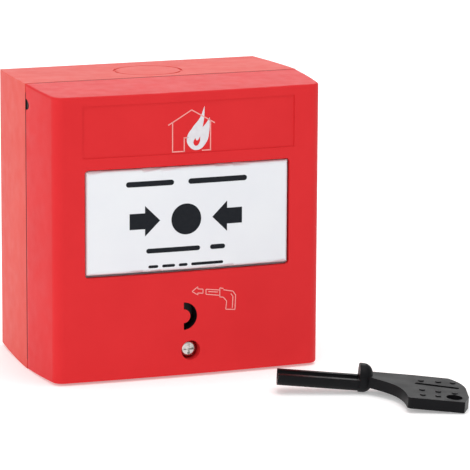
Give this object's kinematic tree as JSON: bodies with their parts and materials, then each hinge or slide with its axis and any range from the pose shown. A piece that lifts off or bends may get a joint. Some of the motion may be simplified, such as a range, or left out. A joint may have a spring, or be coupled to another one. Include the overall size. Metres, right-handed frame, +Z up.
{
  "type": "manual call point",
  "caption": "Red surface-mounted fire alarm call point with a white press panel, seen with its black reset key.",
  "frame": {"origin": "centre of the back box's wall face, midway between the two wall fixing holes", "axes": "+Y into the wall, so the front looks along -Y; +Z up; +X to the right of a person facing the box"},
  "size_m": [0.1157, 0.1302, 0.091],
  "materials": {
    "red_plastic": "fine moulded texture",
    "white_plastic": "satin, printed",
    "grey_plastic": "moulded",
    "black_plastic": "satin",
    "red_actuator": "smooth",
    "green_plastic": "smooth",
    "board_laminate": "lacquered laminate",
    "resistor_body": "lacquered",
    "screw_steel": "zinc plated",
    "spring_steel": "drawn wire",
    "rubber": "matte"
  },
  "bodies": {
    "base": {"back_box": "red_plastic", "cable_grommet": "rubber", "mechanism_plate": "grey_plastic", "plate_screws": "screw_steel", "pivot_pins": "screw_steel", "latch_pin": "screw_steel", "circuit_board": "board_laminate", "board_screws": "screw_steel", "terminal_block": "green_plastic", "terminal_screws": "screw_steel", "resistors": "resistor_body", "switch_body": "black_plastic", "reset_spring": "spring_steel", "return_spring": "spring_steel"},
    "front_cover": {"cover": "red_plastic"},
    "captive_screw": {"cover_screw": "screw_steel", "screw_washer": "screw_steel"},
    "panel": {"press_panel": "white_plastic", "panel_carrier": "grey_plastic"},
    "lever": {"switch_lever": "spring_steel"},
    "plunger": {"switch_plunger": "red_actuator"},
    "slider": {"reset_slider": "black_plastic"},
    "latch": {"reset_latch": "red_actuator"},
    "key": {"reset_key": "black_plastic"}
  },
  "joints": [
    {"name": "cover_swing", "type": "hinge", "parent": "base", "child": "front_cover", "pos_m": [0, -0.034, 0.0455], "axis": [-1, 0, 0], "range_deg": [0, 60]},
    {"name": "cover_screw_out", "type": "slide", "parent": "front_cover", "child": "captive_screw", "axis": [0, -1, 0], "range_m": [0, 0.005]},
    {"name": "panel_press", "type": "hinge", "parent": "base", "child": "panel", "pos_m": [0, -0.0553, 0.0253], "axis": [1, 0, 0], "range_deg": [0, 5], "stiffness_Nm_per_rad": 0.1, "springref_deg": -2.86, "deforming": ["return_spring"]},
    {"name": "lever_tilt", "type": "hinge", "parent": "base", "child": "lever", "pos_m": [0, -0.0488, 0.0095], "axis": [1, 0, 0], "range_deg": [0, 12]},
    {"name": "plunger_press", "type": "slide", "parent": "base", "child": "plunger", "axis": [0, 1, 0], "range_m": [0, 0.0012]},
    {"name": "reset_push", "type": "slide", "parent": "base", "child": "slider", "axis": [0, 1, 0], "range_m": [0, 0.004], "stiffness_N_per_m": 60, "springref_m": -0.003, "deforming": ["reset_spring"]},
    {"name": "latch_tilt", "type": "hinge", "parent": "base", "child": "latch", "pos_m": [0, -0.0453, -0.015], "axis": [1, 0, 0], "range_deg": [0, 24]},
    {"name": "key_lift", "type": "slide", "parent": "base", "child": "key", "axis": [0, 0, 1], "range_m": [0, 0.12]}
  ],
  "couplings": [
    {"joint": "lever_tilt", "follows": "panel_press", "ratio": 2.24},
    {"joint": "plunger_press", "follows": "panel_press", "m_per_rad": 0.0126},
    {"joint": "latch_tilt", "follows": "reset_push", "rad_per_m": 102.5}
  ]
}
